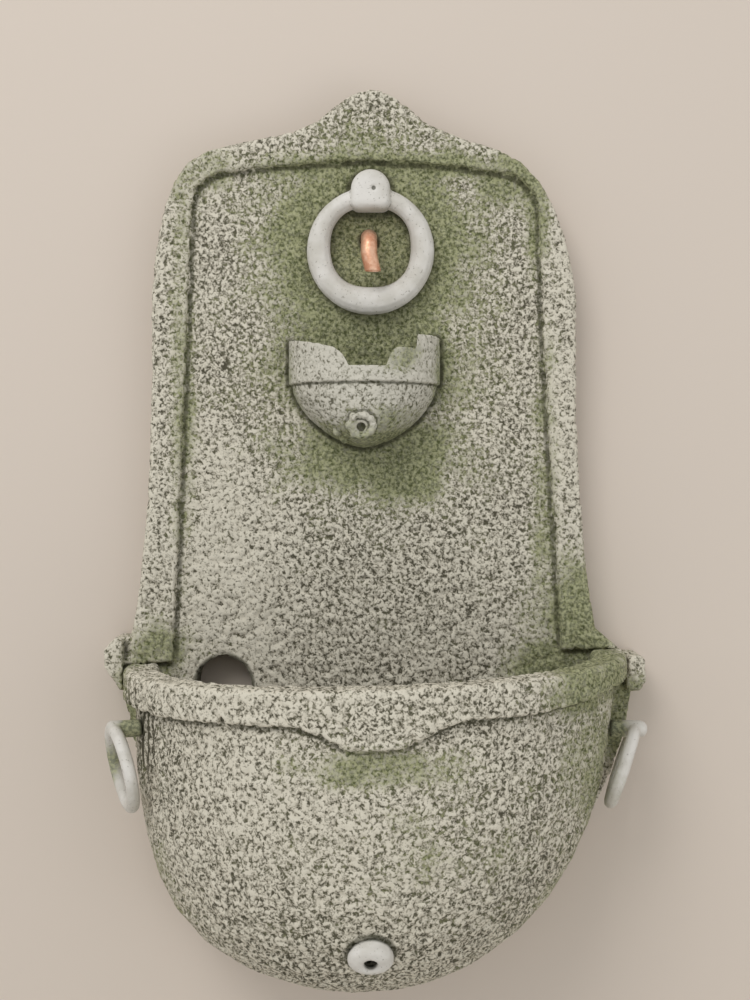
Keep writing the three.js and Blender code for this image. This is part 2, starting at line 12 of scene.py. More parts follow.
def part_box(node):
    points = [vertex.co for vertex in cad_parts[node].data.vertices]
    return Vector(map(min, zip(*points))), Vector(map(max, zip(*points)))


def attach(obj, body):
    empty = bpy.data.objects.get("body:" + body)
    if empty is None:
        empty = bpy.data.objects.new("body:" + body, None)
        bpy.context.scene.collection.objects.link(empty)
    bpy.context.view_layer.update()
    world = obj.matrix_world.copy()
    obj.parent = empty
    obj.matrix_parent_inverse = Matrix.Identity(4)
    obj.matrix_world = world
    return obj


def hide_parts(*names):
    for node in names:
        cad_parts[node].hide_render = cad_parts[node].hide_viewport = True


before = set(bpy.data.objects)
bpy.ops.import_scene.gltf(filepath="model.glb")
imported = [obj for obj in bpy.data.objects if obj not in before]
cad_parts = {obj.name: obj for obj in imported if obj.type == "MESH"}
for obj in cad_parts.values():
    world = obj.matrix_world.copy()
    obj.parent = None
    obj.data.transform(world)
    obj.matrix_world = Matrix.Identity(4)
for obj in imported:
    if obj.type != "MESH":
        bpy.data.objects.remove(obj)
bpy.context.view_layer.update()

# Where the eye stands
EYE_DISTANCE = 1.5
EYE_HEIGHT = 0.176
LOOK_DOWN = math.radians(0.784)
LOOK_RIGHT = math.radians(0.235)
LENS = 70.2
SENSOR_WIDTH = 36

# Wall and floor
WALL_SIZE = 3.0
WALL_GAP = 0.001
FLOOR_HEIGHT = -0.9
WALL_COLOR = (0.628, 0.548, 0.472, 1)
FLOOR_COLOR = (0.66, 0.64, 0.60, 1)

# Light: each lamp's name, width, power, place and aim, and the studio round it all
LAMPS = (
    ("sky light", 1.6, 48, (-1.2, -2.6, 2.4), (0, 0, 0.1)),
    ("light from the ground", 1.2, 4, (1.2, -1.5, -0.7), (0.1, 0, 0)),
)
STUDIO_COLOR = (0.96, 0.98, 1.0, 1)
STUDIO_STRENGTH = 0.75

# Grid of the relief on each kind of piece, and the share of faces kept where nobody looks
SLAB_GRID = 0.0022
BASIN_GRID = 0.0022
CUP_GRID = 0.0010
CAST_GRID = 0.0012
SLAB_HIDDEN_SHARE = 0.015
BASIN_HIDDEN_SHARE = 0.15
MERGE = 0.00001

# How deep the relief goes. The cup is worn smoother, so its relief is so many times shallower
WEAR_DEPTH = 0.0026
PIT_DEPTH = 0.0019
GRAIN_DEPTH = 0.0011
CUP_SHALLOWER = 3
CAST_WEAR_DEPTH = 0.0007
CAST_SMOOTHING = 7
CAST_SMOOTHING_SHARE = 0.5
ROUGH_LEVELS = 4
SUNK_PASSES = 4

# The value of a texture that leaves the surface where it is: it then works both ways, or only inward
BOTH_WAYS = 0.5
INWARD = 1.0

# How far a hollow or a neighbour darkens the stone round it with painted shade and soil
HOLLOW_PASSES = 11
CUP_HOLLOW_PASSES = 34
HOLLOW_SHARE = 0.5
SLAB_NEAR = 0.008
RING_NEAR = 0.0125
BASIN_NEAR = 0.007
CUP_NEAR = 0.006
CAST_NEAR = 0.006
HOLE_EDGE = 0.007

# The slab's back: what lies this close to the wall belongs to it, and this close there is no relief
BACK_SKIN = 0.0015
BACK_CALM = 0.004

# A face looks straight forward or back when this much of its normal does
FACING = 0.9

# A place in the middle of the basin's hollow, how high its faces count as out of sight, and its floor
BASIN_CORE = (0.0, -0.06, 0.03)
INSIDE_TOP = -0.035
BASIN_FLOOR_TOP = -0.264

# Beside the rim's ends the slab's joint is full of moss, so little of the painted shade and dark soil shows
# there
RIM_REACH = 0.012
RIM_END = 0.165
RIM_END_SHARE = 0.35

# The overflow hole's middle and radius
OVERFLOW_X = -0.145
OVERFLOW_Z = -0.028
OVERFLOW_RADIUS = 0.0275

# Hairline crack through the top border, only on the slab's front half
CRACK_X = -0.0975
CRACK_LOW = 0.492
CRACK_BACK = -0.02
CRACK_WIDTH = 0.0012
CRACK_CORE = 1.3
CRACK_SWING = 0.0015
CRACK_TURNS = 400

# Copper spout
SPOUT_RADIUS = 0.008
SPOUT_WALL = 0.001
SPOUT_BEND = 0.018
SPOUT_INSET = 0.0005
SPOUT_SIDES = 40
SPOUT_BEND_STEPS = 14
SPOUT_FALLS = (0.35, 0.65)
SPOUT_EDGE = 0.0003
EDGE_ANGLE = math.radians(50)
SMOOTH_ANGLE = math.radians(40)
# From here towards the wall, over this reach, the pipe is drawn darker: painted shade
SPOUT_SHADE_START = 0.004
SPOUT_SHADE_REACH = 0.012

# The rosette's middle, and its petals: turn in degrees, reach from the middle, half length, half width
ROSETTE_X = -0.006
ROSETTE_Z = 0.2282
PETAL_RISE = 0.0042
PETAL_SEGMENTS = 16
PETAL_RINGS = 10
PETALS = (
    (75, 0.0094, 0.0046, 0.0036), (38, 0.0096, 0.0050, 0.0040), (2, 0.0098, 0.0052, 0.0043),
    (-35, 0.0096, 0.0050, 0.0040), (-72, 0.0094, 0.0046, 0.0036), (108, 0.0098, 0.0040, 0.0032),
    (138, 0.0112, 0.0036, 0.0028), (-108, 0.0112, 0.0034, 0.0026),
    (-168, 0.0255, 0.0052, 0.0040), (-147, 0.0222, 0.0048, 0.0038),
)

# Colours of the stone, the castings, the copper, the moss, and the soil and painted shade
STONE_PALE = (0.625, 0.580, 0.475, 1)
STONE_MIDDLE = (0.330, 0.303, 0.237, 1)
STONE_DARK = (0.085, 0.077, 0.052, 1)
STONE_SHADE_AND_SOIL = (0.052, 0.050, 0.028, 1)
WORN_PALE = (0.555, 0.525, 0.445, 1)
WORN_MIDDLE = (0.36, 0.34, 0.275, 1)
WORN_DARK = (0.12, 0.11, 0.08, 1)
CAST_SHADY = (0.54, 0.51, 0.45, 1)
CAST_PALE = (0.68, 0.65, 0.60, 1)
CAST_SPECK = (0.2, 0.18, 0.14, 1)
CAST_SHADE_AND_SOIL = (0.055, 0.055, 0.032, 1)
COPPER_BRIGHT = (0.90, 0.56, 0.38, 1)
COPPER_DULL = (0.66, 0.32, 0.19, 1)
COPPER_SHADE = (0.10, 0.045, 0.025, 1)
MOSS_DARK = (0.085, 0.098, 0.035, 1)
MOSS_PALE = (0.340, 0.345, 0.185, 1)

# How fine each noise is
WORM_SCALE = 265
GRAIN_SCALE = 560
DRIFT_SCALE = 9
MOSS_DRIFT_SCALE = 30
TUFT_SCALE = 330
SOIL_SCALE = 95
STREAK_SCALE = 130
CAST_CLOUD_SCALE = 34
CAST_SPECK_SCALE = 420
COPPER_CLOUD_SCALE = 120

# How strong each bump is, and how deep
STONE_BUMP = 0.8
WORN_BUMP = 0.5
STONE_BUMP_DEPTH = 0.0016
CAST_BUMP = 0.5
CAST_BUMP_DEPTH = 0.004

# How each thing shifts the stone's level, and from which to which level pits and pale grains go
WORM_WEIGHT = 0.6
GRAIN_WEIGHT = 0.4
# Sunk pits and hollows of the form are drawn darker: painted shade, with dirt in the pits
SUNK_WEIGHT = -0.055
HOLLOW_WEIGHT = -0.035
# Washed places are paler; on the basin this also carries painted light and shade
WASH_AND_LIGHT_WEIGHT = 0.055
DRIFT_WEIGHT = 0.07
PIT_LEVELS = (0.505, 0.435)
PALE_LEVELS = (0.50, 0.60)

# The same for the moss, and how much it covers at most
MOSS_DRIFT_WEIGHT = 1.4
MOSS_PIT_WEIGHT = 0.30
TUFT_WEIGHT = 0.5
MOSS_LEVELS = (1.20, 1.95)
MOSS_COVER = 0.86
TUFT_LEVELS = (0.35, 0.65)

# The same for the soil and painted shade in joints and creases. Some of it has gone again
NEAR_LEVELS = (0.3, 0.75)
CREASE_LEVELS = (0.5, 1.0)
CREASE_COVER = 0.85
BROKEN_LEVELS = (0.3, 0.6)
BROKEN_LEAST = 0.7

# Clouds and specks of the castings, and dull and rough places of the copper
CAST_CLOUD_LEVELS = (0.3, 0.7)
CAST_SPECK_LEVELS = (0.36, 0.28)
CAST_SPECK_COVER = 0.6
DULL_LEVELS = (0.35, 0.7)
COPPER_ROUGH_LEVELS = (0.3, 0.7)
COPPER_ROUGHNESS = (0.32, 0.55)

# Dark streaks that run down the basin's sides
STREAK_SHAPE = (1, 1, 0.07)
STREAK_LEVELS = (0.50, 0.60)
STREAK_STRENGTH = 4.0

# A patch is full at its middle for a way, then fades like a bell
PATCH_TOP = 1.25
PATCH_FADE = 0.9

# Moss: centre, half sizes and strength of each patch
SLAB_MOSS = (
    ((0.000, -0.04, 0.400), (0.095, 0.03, 0.100), 1.45),
    ((0.010, -0.04, 0.487), (0.140, 0.03, 0.018), 1.10),
    ((0.000, -0.04, 0.300), (0.105, 0.03, 0.080), 1.00),
    ((0.005, -0.04, 0.205), (0.095, 0.03, 0.050), 1.00),
    ((0.035, -0.04, 0.178), (0.045, 0.03, 0.028), 1.10),
    ((0.145, -0.04, 0.480), (0.045, 0.02, 0.035), 0.95),
    ((0.168, -0.04, 0.440), (0.014, 0.02, 0.060), 0.80),
    ((-0.165, -0.04, 0.485), (0.045, 0.03, 0.025), 0.75),
    ((-0.186, -0.04, 0.300), (0.014, 0.03, 0.240), 0.65),
    ((0.176, -0.04, 0.130), (0.016, 0.03, 0.200), 0.60),
    ((-0.212, -0.04, 0.004), (0.035, 0.05, 0.034), 0.80),
    ((0.210, -0.04, 0.040), (0.045, 0.05, 0.065), 1.05),
    ((0.180, -0.04, -0.010), (0.040, 0.05, 0.030), 1.05),
    ((-0.240, -0.02, -0.060), (0.030, 0.05, 0.060), 1.10),
    ((0.255, -0.02, -0.060), (0.030, 0.05, 0.060), 0.95),
)
BASIN_MOSS = (
    ((0.010, -0.27, -0.068), (0.080, 0.04, 0.020), 0.75),
    ((0.205, -0.14, -0.005), (0.055, 0.22, 0.042), 1.00),
    ((0.215, -0.12, -0.085), (0.055, 0.20, 0.085), 0.62),
    ((-0.240, -0.05, -0.025), (0.020, 0.06, 0.035), 0.75),
    ((-0.215, -0.08, -0.230), (0.070, 0.09, 0.090), 0.55),
    ((0.190, -0.08, -0.220), (0.070, 0.09, 0.090), 0.60),
    ((0.060, -0.20, -0.140), (0.120, 0.15, 0.060), 0.35),
)
CUP_MOSS = (
    ((0.000, -0.06, 0.212), (0.080, 0.08, 0.022), 0.95),
    ((0.030, -0.08, 0.235), (0.050, 0.06, 0.020), 0.60),
    ((-0.075, -0.04, 0.262), (0.014, 0.03, 0.060), 0.70),
    ((0.066, -0.04, 0.272), (0.016, 0.03, 0.070), 0.75),
    ((0.030, -0.10, 0.297), (0.024, 0.03, 0.018), 0.75),
)
CAST_MOSS = (
    ((-0.219, -0.127, -0.058), (0.014, 0.022, 0.016), 1.60),
    ((0.234, -0.083, -0.066), (0.014, 0.022, 0.016), 1.60),
    ((-0.247, -0.088, -0.100), (0.010, 0.020, 0.045), 0.80),
    ((0.238, -0.120, -0.130), (0.012, 0.020, 0.030), 0.50),
)

# Places that the rain keeps pale, and with a strength below 0 places that are worn rough. On the basin they
# are painted light and shade: paler at its left, darker at its lower right and its bottom
SLAB_WASH = (
    ((-0.140, -0.04, 0.030), (0.055, 0.03, 0.110), 1.0),
    ((0.190, -0.04, 0.300), (0.014, 0.03, 0.250), 0.4),
    ((0.000, -0.04, 0.535), (0.160, 0.05, 0.030), -0.7),
    ((0.000, -0.04, 0.360), (0.170, 0.03, 0.170), -0.6),
    ((-0.150, -0.04, 0.150), (0.030, 0.03, 0.080), 0.7),
)
BASIN_PAINTED_LIGHT_AND_SHADE = (
    ((-0.150, -0.20, -0.015), (0.110, 0.12, 0.022), 0.4),
    ((-0.090, -0.25, -0.100), (0.090, 0.10, 0.050), 0.35),
    ((0.160, -0.15, -0.160), (0.110, 0.14, 0.110), -0.4),
    ((-0.020, -0.20, -0.240), (0.080, 0.10, 0.040), -0.3),
)
CUP_WASH = (
    ((-0.040, -0.10, 0.295), (0.040, 0.06, 0.030), 0.9),
    ((0.000, -0.10, 0.280), (0.090, 0.06, 0.020), 0.8),
    ((0.045, -0.10, 0.300), (0.030, 0.06, 0.030), 0.6),
    ((-0.006, -0.12, 0.228), (0.018, 0.04, 0.018), 0.9),
    ((-0.027, -0.12, 0.219), (0.012, 0.04, 0.010), 0.7),
)
BASIN_STREAKS = (
    ((-0.222, -0.10, -0.062), (0.032, 0.10, 0.042), 1.0),
    ((0.220, -0.08, -0.110), (0.020, 0.08, 0.070), 0.5),
)


def deselect_all():
    if bpy.context.object and bpy.context.object.mode != "OBJECT":
        bpy.ops.object.mode_set(mode="OBJECT")
    bpy.ops.object.select_all(action="DESELECT")


def take_up(piece):
    deselect_all()
    piece.select_set(True)
    bpy.context.view_layer.objects.active = piece


def link(name, data):
    made = bpy.data.objects.new(name, data)
    bpy.context.scene.collection.objects.link(made)
    return made


def apply_modifier(piece, kind, **settings):
    take_up(piece)
    modifier = piece.modifiers.new(kind.lower(), kind)
    for name, value in settings.items():
        setattr(modifier, name, value)
    bpy.ops.object.modifier_apply(modifier=modifier.name)


def press(piece, texture, depth, level, **settings):
    """Presses a texture into the surface. What the texture has at the level stays where it is."""
    apply_modifier(
        piece, "DISPLACE", texture=texture, texture_coords="LOCAL", strength=depth, mid_level=level,
        **settings,
    )


def own_copy(node, name):
    """A copy of a solid's mesh, with its loose corners merged."""
    piece = link(name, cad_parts[node].data.copy())
    piece.data.materials.clear()
    take_up(piece)
    bpy.ops.object.mode_set(mode="EDIT")
    bpy.ops.mesh.select_all(action="SELECT")
    bpy.ops.mesh.remove_doubles(threshold=MERGE)
    bpy.ops.object.mode_set(mode="OBJECT")
    return piece


def triples(items, name):
    """A value of three numbers for each vertex, normal or face, as rows."""
    values = np.empty(len(items) * 3)
    items.foreach_get(name, values)
    return values.reshape(-1, 3)


def vertex_places(piece):
    return triples(piece.data.vertices, "co")


def vertex_normals(piece):
    return triples(piece.data.vertex_normals, "vector")


def search_tree(mesh):
    return BVHTree.FromPolygons([v.co for v in mesh.vertices], [p.vertices for p in mesh.polygons])


def store(piece, **attributes):
    for name, values in attributes.items():
        attribute = piece.data.attributes.new(name, "FLOAT", "POINT")
        attribute.data.foreach_set("value", np.asarray(values, dtype=np.float32))


def clouds_texture(name, size, detail, cut=None):
    """A cloudy texture for the relief. With a cut it is 0 below the first value and 1 above the second."""
    texture = bpy.data.textures.new(name, "CLOUDS")
    texture.noise_scale = size
    texture.noise_depth = detail
    if cut:
        texture.use_color_ramp = True
        low, high = texture.color_ramp.elements
        low.position, high.position = cut
        low.color = (0, 0, 0, 1)
        high.color = (1, 1, 1, 1)
    return texture


def smoothed(piece, values, passes):
    """Values averaged again and again with those of the neighbouring points."""
    ends = np.empty(len(piece.data.edges) * 2, dtype=np.int64)
    piece.data.edges.foreach_get("vertices", ends)
    first, second = ends.reshape(-1, 2).T
    count = len(piece.data.vertices)
    share = np.bincount(first, minlength=count) + np.bincount(second, minlength=count) + 1.0
    for _ in range(passes):
        total = values.copy()
        for axis in range(values.shape[1]):
            total[:, axis] += np.bincount(first, values[second, axis], count)
            total[:, axis] += np.bincount(second, values[first, axis], count)
        values = total / share[:, None]
    return values


def regrid(piece, grid, passes=HOLLOW_PASSES):
    """Makes the surface an even grid. Stores how deep each point lies in a hollow of the form: -1 on a
    sharp edge, 1 in a deep crease."""
    apply_modifier(piece, "REMESH", mode="VOXEL", voxel_size=grid, use_smooth_shade=True)
    places = vertex_places(piece)
    depth = ((smoothed(piece, places, passes) - places) * vertex_normals(piece)).sum(1)
    store(piece, hollow=np.clip(depth / (HOLLOW_SHARE * grid), -1, 1))


def thin_hidden(piece, hidden, share):
    """Leaves only a share of the faces where nobody looks. hidden tells it from middles and normals."""
    take_up(piece)
    middles = triples(piece.data.polygons, "center")
    normals = triples(piece.data.polygons, "normal")
    bpy.ops.object.mode_set(mode="EDIT")
    bpy.ops.mesh.select_mode(type="FACE")
    bpy.ops.mesh.select_all(action="DESELECT")
    bpy.ops.object.mode_set(mode="OBJECT")
    piece.data.polygons.foreach_set("select", hidden(middles, normals))
    bpy.ops.object.mode_set(mode="EDIT")
    bpy.ops.mesh.decimate(ratio=share)
    bpy.ops.mesh.select_mode(type="VERT")
    bpy.ops.object.mode_set(mode="OBJECT")


def weather(piece, shallower=1, calm=None):
    """Wears and pits the surface, but not where calm is 1. Stores how far each point sank."""
    before = vertex_places(piece)
    normals = vertex_normals(piece)
    group = piece.vertex_groups.new(name="rough")
    rough = 1 - calm(before) if calm else np.ones(len(before))
    for level in range(1, ROUGH_LEVELS + 1):
        chosen = np.flatnonzero(np.round(rough * ROUGH_LEVELS) == level)
        group.add(chosen.tolist(), level / ROUGH_LEVELS, "REPLACE")
    press(piece, wear_texture, WEAR_DEPTH / shallower, BOTH_WAYS, vertex_group="rough")
    press(piece, pit_texture, PIT_DEPTH / shallower, INWARD, vertex_group="rough")
    press(piece, grain_texture, GRAIN_DEPTH / shallower, BOTH_WAYS, vertex_group="rough")
    piece.vertex_groups.clear()
    sunk = -((vertex_places(piece) - before) * normals).sum(1)
    broad = smoothed(piece, sunk[:, None], SUNK_PASSES)[:, 0]
    store(piece, sunk=np.clip((sunk - broad) / (PIT_DEPTH / shallower), -1, 1))


def closeness(piece, nodes, reach):
    """How close each point is to some other pieces: 1 where it touches, 0 at the reach."""
    places = vertex_places(piece)
    best = np.zeros(len(places))
    for node in nodes:
        low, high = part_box(node)
        tree = search_tree(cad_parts[node].data)
        inside = ((places > np.array(low) - reach) & (places < np.array(high) + reach)).all(1)
        for index in np.flatnonzero(inside):
            touch, _, _, distance = tree.find_nearest(places[index], reach)
            if touch is not None:
                best[index] = max(best[index], 1 - distance / reach)
    return best


def patchiness(places, patches):
    """How strong some growth or stain is at each place. The patch that is strongest there counts."""
    total = np.zeros(len(places))
    for centre, sizes, strength in patches:
        away = (((places - np.array(centre)) / np.array(sizes)) ** 2).sum(1)
        local = strength * np.clip(PATCH_TOP * np.exp(-PATCH_FADE * away), 0, 1)
        total = np.where(np.abs(local) > np.abs(total), local, total)
    return total


def add_node(tree, kind, **settings):
    node = tree.nodes.new(kind)
    for name, value in settings.items():
        setattr(node, name, value)
    return node


def set_inputs(node, **values):
    for name, value in values.items():
        node.inputs[name.replace("_", " ")].default_value = value
    return node


def new_group(name, inputs, outputs):
    """A node group, its own ends and its inputs. Sockets are given by name, as colour, value or vector."""
    group = bpy.data.node_groups.new(name, "ShaderNodeTree")
    for side, sockets in (("INPUT", inputs), ("OUTPUT", outputs)):
        for socket, kind in sockets.items():
            group.interface.new_socket(socket, in_out=side, socket_type="NodeSocket" + kind)
    return group, group.nodes.new("NodeGroupInput").outputs, group.nodes.new("NodeGroupOutput").inputs


def connect(tree, value, socket):
    if isinstance(value, (int, float, tuple)):
        socket.default_value = value
    else:
        tree.links.new(value, socket)


def noise(tree, vector, scale, detail, roughness=0.5, distortion=0.0):
    node = add_node(tree, "ShaderNodeTexNoise")
    connect(tree, vector, node.inputs["Vector"])
    set_inputs(node, Scale=scale, Detail=detail, Roughness=roughness, Distortion=distortion)
    return node.outputs["Fac"]


def ramp(tree, factor, low, high, to_low=0.0, to_high=1.0):
    node = add_node(tree, "ShaderNodeMapRange", interpolation_type="SMOOTHSTEP")
    connect(tree, factor, node.inputs["Value"])
    set_inputs(node, From_Min=low, From_Max=high, To_Min=to_low, To_Max=to_high)
    return node.outputs["Result"]


def calculate(tree, operation, first, second, clamp=False):
    node = add_node(tree, "ShaderNodeMath", operation=operation, use_clamp=clamp)
    connect(tree, first, node.inputs[0])
    connect(tree, second, node.inputs[1])
    return node.outputs["Value"]


def add_up(tree, *terms):
    """The sum of values, each given as (value, weight)."""
    total = 0.0
    for value, weight in terms:
        total = calculate(tree, "ADD", total, calculate(tree, "MULTIPLY", value, weight))
    return total


def blend_colors(tree, factor, first, second):
    node = add_node(tree, "ShaderNodeMix", data_type="RGBA")
    connect(tree, factor, node.inputs[0])
    connect(tree, first, node.inputs[6])
    connect(tree, second, node.inputs[7])
    return node.outputs[2]


def make_grain_group():
    """Grains and pits of the cast stone: a colour, and a height for the bump."""
    group, given, result = new_group(
        "stone grain",
        {
            "Vector": "Vector", "Sunk": "Float", "Hollow": "Float", "Washed": "Float",
            "Pale": "Color", "Middle": "Color", "Dark": "Color",
        },
        {"Color": "Color", "Height": "Float", "Pits": "Float"},
    )
    worms = noise(group, given["Vector"], WORM_SCALE, detail=1, distortion=0.5)
    grains = noise(group, given["Vector"], GRAIN_SCALE, detail=2, roughness=0.6)
    drift = noise(group, given["Vector"], DRIFT_SCALE, detail=3, roughness=0.6)
    # Where the surface sank or lies in a hollow the level drops: painted shade, with dirt in the pits
    level = add_up(
        group, (worms, WORM_WEIGHT), (grains, GRAIN_WEIGHT), (given["Sunk"], SUNK_WEIGHT),
        (given["Hollow"], HOLLOW_WEIGHT), (given["Washed"], WASH_AND_LIGHT_WEIGHT), (drift, DRIFT_WEIGHT),
    )
    pits = ramp(group, level, *PIT_LEVELS)
    pale = ramp(group, level, *PALE_LEVELS)
    color = blend_colors(group, pale, given["Middle"], given["Pale"])
    color = blend_colors(group, pits, color, given["Dark"])
    group.links.new(color, result["Color"])
    group.links.new(level, result["Height"])
    group.links.new(pits, result["Pits"])
    return group


def make_moss_group():
    """A film of moss that starts in the pits and closes over where it is thick."""
    group, given, result = new_group(
        "moss film",
        {"Vector": "Vector", "Color": "Color", "Growth": "Float", "Pits": "Float"},
        {"Color": "Color"},
    )
    drift = noise(group, given["Vector"], MOSS_DRIFT_SCALE, detail=4, roughness=0.65)
    tufts = noise(group, given["Vector"], TUFT_SCALE, detail=2, roughness=0.6)
    growth = add_up(
        group, (given["Growth"], 1.0), (drift, MOSS_DRIFT_WEIGHT), (given["Pits"], MOSS_PIT_WEIGHT),
        (tufts, TUFT_WEIGHT),
    )
    mask = ramp(group, growth, *MOSS_LEVELS, to_high=MOSS_COVER)
    green = blend_colors(group, ramp(group, tufts, *TUFT_LEVELS), MOSS_DARK, MOSS_PALE)
    group.links.new(blend_colors(group, mask, given["Color"], green), result["Color"])
    return group


def make_shade_and_grime_group():
    """Painted shade and dark soil in creases, and where a piece meets its neighbours."""
    group, given, result = new_group(
        "joint grime",
        {
            "Vector": "Vector", "Color": "Color", "Near": "Float", "Hollow": "Float",
            "Soil": "Color", "Strength": "Float",
        },
        {"Color": "Color"},
    )
    speckle = noise(group, given["Vector"], SOIL_SCALE, detail=2, roughness=0.6)
    broken = ramp(group, speckle, *BROKEN_LEVELS, to_low=BROKEN_LEAST)
    near = ramp(group, given["Near"], *NEAR_LEVELS)
    crease = ramp(group, given["Hollow"], *CREASE_LEVELS, to_high=CREASE_COVER)
    mask = calculate(group, "MULTIPLY", calculate(group, "MAXIMUM", near, crease), broken)
    mask = calculate(group, "MULTIPLY", mask, given["Strength"], clamp=True)
    group.links.new(blend_colors(group, mask, given["Color"], given["Soil"]), result["Color"])
    return group


def new_material(name, **settings):
    """A material with its tree and shader. Settings are the same all over the surface."""
    material = bpy.data.materials.new(name)
    material.use_nodes = True
    tree = material.node_tree
    return material, tree, set_inputs(tree.nodes["Principled BSDF"], **settings)


def object_place(tree):
    return add_node(tree, "ShaderNodeTexCoord").outputs["Object"]


def read(tree, name):
    return add_node(tree, "ShaderNodeAttribute", attribute_name=name).outputs["Fac"]


def use_group(tree, group, **inputs):
    node = add_node(tree, "ShaderNodeGroup", node_tree=group)
    for name, value in inputs.items():
        connect(tree, value, node.inputs[name])
    return node.outputs


def add_bump(tree, shader, height, strength, distance):
    bump = set_inputs(add_node(tree, "ShaderNodeBump"), Strength=strength, Distance=distance)
    tree.links.new(height, bump.inputs["Height"])
    tree.links.new(bump.outputs["Normal"], shader.inputs["Normal"])


def pitted_stone(name, pale, middle, dark, bump):
    material, tree, shader = new_material(name, Roughness=0.95, Specular_IOR_Level=0.2)
    place = object_place(tree)
    hollow = read(tree, "hollow")
    drawn_down = set_inputs(add_node(tree, "ShaderNodeMapping"), Scale=STREAK_SHAPE)
    tree.links.new(place, drawn_down.inputs["Vector"])
    lines = noise(tree, drawn_down.outputs["Vector"], STREAK_SCALE, detail=1)
    streaks = calculate(tree, "MULTIPLY", ramp(tree, lines, *STREAK_LEVELS), read(tree, "streaked"))
    streaks = calculate(tree, "MULTIPLY", streaks, STREAK_STRENGTH)
    washed = calculate(tree, "SUBTRACT", read(tree, "washed"), streaks)
    grain = use_group(
        tree, grain_group, Vector=place, Sunk=read(tree, "sunk"), Hollow=hollow, Washed=washed,
        Pale=pale, Middle=middle, Dark=dark,
    )
    moss = use_group(
        tree, moss_group, Vector=place, Color=grain["Color"], Growth=read(tree, "moss"), Pits=grain["Pits"],
    )
    shade_and_grime = use_group(
        tree, shade_and_grime_group, Vector=place, Color=moss["Color"], Near=read(tree, "near"), Hollow=hollow,
        Soil=STONE_SHADE_AND_SOIL, Strength=0.85,
    )
    tree.links.new(shade_and_grime["Color"], shader.inputs["Base Color"])
    add_bump(tree, shader, grain["Height"], bump, STONE_BUMP_DEPTH)
    return material


def smooth_cast(name):
    material, tree, shader = new_material(name, Roughness=0.75, Specular_IOR_Level=0.3)
    place = object_place(tree)
    clouds = noise(tree, place, CAST_CLOUD_SCALE, detail=3, roughness=0.6)
    specks = noise(tree, place, CAST_SPECK_SCALE, detail=2)
    specks = ramp(tree, specks, *CAST_SPECK_LEVELS, to_high=CAST_SPECK_COVER)
    color = blend_colors(tree, ramp(tree, clouds, *CAST_CLOUD_LEVELS), CAST_SHADY, CAST_PALE)
    color = blend_colors(tree, specks, color, CAST_SPECK)
    moss = use_group(tree, moss_group, Vector=place, Color=color, Growth=read(tree, "moss"))
    shade_and_grime = use_group(
        tree, shade_and_grime_group, Vector=place, Color=moss["Color"], Near=read(tree, "near"),
        Hollow=read(tree, "hollow"), Soil=CAST_SHADE_AND_SOIL, Strength=0.9,
    )
    tree.links.new(shade_and_grime["Color"], shader.inputs["Base Color"])
    add_bump(tree, shader, clouds, CAST_BUMP, CAST_BUMP_DEPTH)
    return material


def worn_copper(name):
    material, tree, shader = new_material(name, Metallic=0.85)
    place = object_place(tree)
    clouds = noise(tree, place, COPPER_CLOUD_SCALE, detail=4, roughness=0.6)
    color = blend_colors(tree, ramp(tree, clouds, *DULL_LEVELS), COPPER_BRIGHT, COPPER_DULL)
    shade_and_grime = use_group(
        tree, shade_and_grime_group, Vector=place, Color=color, Near=read(tree, "near"), Soil=COPPER_SHADE,
        Strength=0.9,
    )
    roughness = ramp(tree, clouds, *COPPER_ROUGH_LEVELS, *COPPER_ROUGHNESS)
    tree.links.new(shade_and_grime["Color"], shader.inputs["Base Color"])
    tree.links.new(roughness, shader.inputs["Roughness"])
    return material


def plain_stage(name, color, one_sided):
    """A plain surface. A one-sided one can't be seen from its back."""
    material, tree, shader = new_material(name, Base_Color=color, Roughness=0.95, Specular_IOR_Level=0.1)
    if one_sided:
        back = add_node(tree, "ShaderNodeNewGeometry").outputs["Backfacing"]
        clear = add_node(tree, "ShaderNodeBsdfTransparent")
        mix = add_node(tree, "ShaderNodeMixShader")
        tree.links.new(back, mix.inputs[0])
        tree.links.new(shader.outputs[0], mix.inputs[1])
        tree.links.new(clear.outputs[0], mix.inputs[2])
        tree.links.new(mix.outputs[0], tree.nodes["Material Output"].inputs["Surface"])
    return material


def finish_piece(piece, node, material):
    piece.data.materials.append(material)
    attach(piece, "root")
    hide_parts(node)


def overflow_edge(places):
    """1 at the edge of the overflow hole, 0 further out. It is drawn dark there as painted shade."""
    away = np.hypot(places[:, 0] - OVERFLOW_X, places[:, 2] - OVERFLOW_Z)
    return np.clip(1 - (away - OVERFLOW_RADIUS) / HOLE_EDGE, 0, 1)


def crack_line(places):
    """1 along the hairline crack through the top border."""
    across = np.abs(places[:, 0] - CRACK_X - CRACK_SWING * np.sin(places[:, 2] * CRACK_TURNS))
    along = (places[:, 2] > CRACK_LOW) & (places[:, 1] < CRACK_BACK)
    return along * np.clip(CRACK_CORE - across / CRACK_WIDTH, 0, 1)


def close_to_wall(places):
    """1 up to a little in front of the wall, and 0 from twice as far."""
    return np.clip(1 + (places[:, 1] + BACK_CALM) / BACK_CALM, 0, 1)


def against_wall(middles, normals):
    """The slab's back, and the part of its front that the basin's floor covers."""
    covered = (middles[:, 2] < BASIN_FLOOR_TOP) & (normals[:, 1] < -FACING)
    return (middles[:, 1] > -BACK_SKIN) | covered


def inside_basin(middles, normals):
    """The basin's hollow, too low for the eye to reach over the rim, and its back edges on the slab."""
    inward = ((np.array(BASIN_CORE) - middles) * normals).sum(1) > 0
    return (inward & (middles[:, 2] < INSIDE_TOP)) | (normals[:, 1] > FACING)


